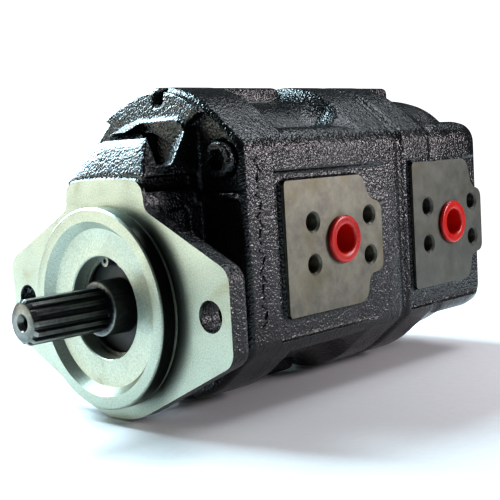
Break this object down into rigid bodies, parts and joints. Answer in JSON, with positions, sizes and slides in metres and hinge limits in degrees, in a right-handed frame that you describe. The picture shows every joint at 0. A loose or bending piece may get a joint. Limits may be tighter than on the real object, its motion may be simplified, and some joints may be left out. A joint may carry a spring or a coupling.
{
  "type": "tandem hydraulic gear pump",
  "caption": "Tandem external gear pump: two-bolt flange with round pilot, splined input shaft, three bolted castings, plugged side ports and meshing gears inside.",
  "frame": {"origin": "where the shaft axis meets the mounting face of the flange", "axes": "+Y along the pump away from the shaft end, +X out of the outlet ports, +Z from the drive gears to the driven gears"},
  "size_m": [0.1726, 0.3081, 0.167],
  "materials": {
    "casting": "gloss black paint over rough casting, machined faces bare",
    "shaft_steel": "black oxide",
    "ground_steel": "ground",
    "block_aluminium": "machined",
    "bush_bronze": "bronze, bored",
    "seal_rubber": "matt",
    "plug_plastic": "gloss"
  },
  "bodies": {
    "pump_body": {"front_cover": "casting", "front_gear_housing": "casting", "rear_gear_housing": "casting", "front_fore_bearing_block": "block_aluminium", "front_fore_drive_bush": "bush_bronze", "front_fore_driven_bush": "bush_bronze", "front_fore_pressure_seal": "seal_rubber", "front_aft_bearing_block": "block_aluminium", "front_aft_drive_bush": "bush_bronze", "front_aft_driven_bush": "bush_bronze", "front_aft_pressure_seal": "seal_rubber", "rear_fore_bearing_block": "block_aluminium", "rear_fore_drive_bush": "bush_bronze", "rear_fore_driven_bush": "bush_bronze", "rear_fore_pressure_seal": "seal_rubber", "rear_aft_bearing_block": "block_aluminium", "rear_aft_drive_bush": "bush_bronze", "rear_aft_driven_bush": "bush_bronze", "rear_aft_pressure_seal": "seal_rubber", "shaft_seal": "seal_rubber", "shaft_seal_spring": "ground_steel", "seal_retaining_ring": "shaft_steel", "front_joint_seal": "seal_rubber", "front_dowel_1": "ground_steel", "front_dowel_2": "ground_steel", "rear_joint_seal": "seal_rubber", "rear_dowel_1": "ground_steel", "rear_dowel_2": "ground_steel", "tie_bolt_1": "shaft_steel", "tie_bolt_washer_1": "ground_steel", "tie_bolt_2": "shaft_steel", "tie_bolt_washer_2": "ground_steel", "tie_bolt_3": "shaft_steel", "tie_bolt_washer_3": "ground_steel", "tie_bolt_4": "shaft_steel", "tie_bolt_washer_4": "ground_steel"},
    "drive_train": {"input_gear_shaft": "shaft_steel", "link_shaft": "shaft_steel", "rear_drive_gear": "ground_steel"},
    "front_driven_gear_body": {"front_driven_gear": "ground_steel"},
    "rear_driven_gear_body": {"rear_driven_gear": "ground_steel"},
    "front_outlet_plug_body": {"front_outlet_plug": "plug_plastic"},
    "front_inlet_plug_body": {"front_inlet_plug": "plug_plastic"},
    "rear_outlet_plug_body": {"rear_outlet_plug": "plug_plastic"},
    "rear_inlet_plug_body": {"rear_inlet_plug": "plug_plastic"}
  },
  "joints": [
    {"name": "shaft_spin", "type": "hinge", "parent": "pump_body", "child": "drive_train", "pos_m": [0, 0, 0], "axis": [0, 1, 0], "continuous": true},
    {"name": "front_driven_gear_spin", "type": "hinge", "parent": "pump_body", "child": "front_driven_gear_body", "pos_m": [0, 0.109, 0.05], "axis": [0, 1, 0], "continuous": true},
    {"name": "rear_driven_gear_spin", "type": "hinge", "parent": "pump_body", "child": "rear_driven_gear_body", "pos_m": [0, 0.2075, 0.05], "axis": [0, 1, 0], "continuous": true},
    {"name": "front_outlet_plug_pull", "type": "slide", "parent": "pump_body", "child": "front_outlet_plug_body", "axis": [1, 0, 0], "range_m": [0, 0.03]},
    {"name": "front_inlet_plug_pull", "type": "slide", "parent": "pump_body", "child": "front_inlet_plug_body", "axis": [-1, 0, 0], "range_m": [0, 0.03]},
    {"name": "rear_outlet_plug_pull", "type": "slide", "parent": "pump_body", "child": "rear_outlet_plug_body", "axis": [1, 0, 0], "range_m": [0, 0.03]},
    {"name": "rear_inlet_plug_pull", "type": "slide", "parent": "pump_body", "child": "rear_inlet_plug_body", "axis": [-1, 0, 0], "range_m": [0, 0.03]}
  ],
  "couplings": [
    {"joint": "front_driven_gear_spin", "follows": "shaft_spin", "ratio": -1},
    {"joint": "rear_driven_gear_spin", "follows": "shaft_spin", "ratio": -1}
  ]
}
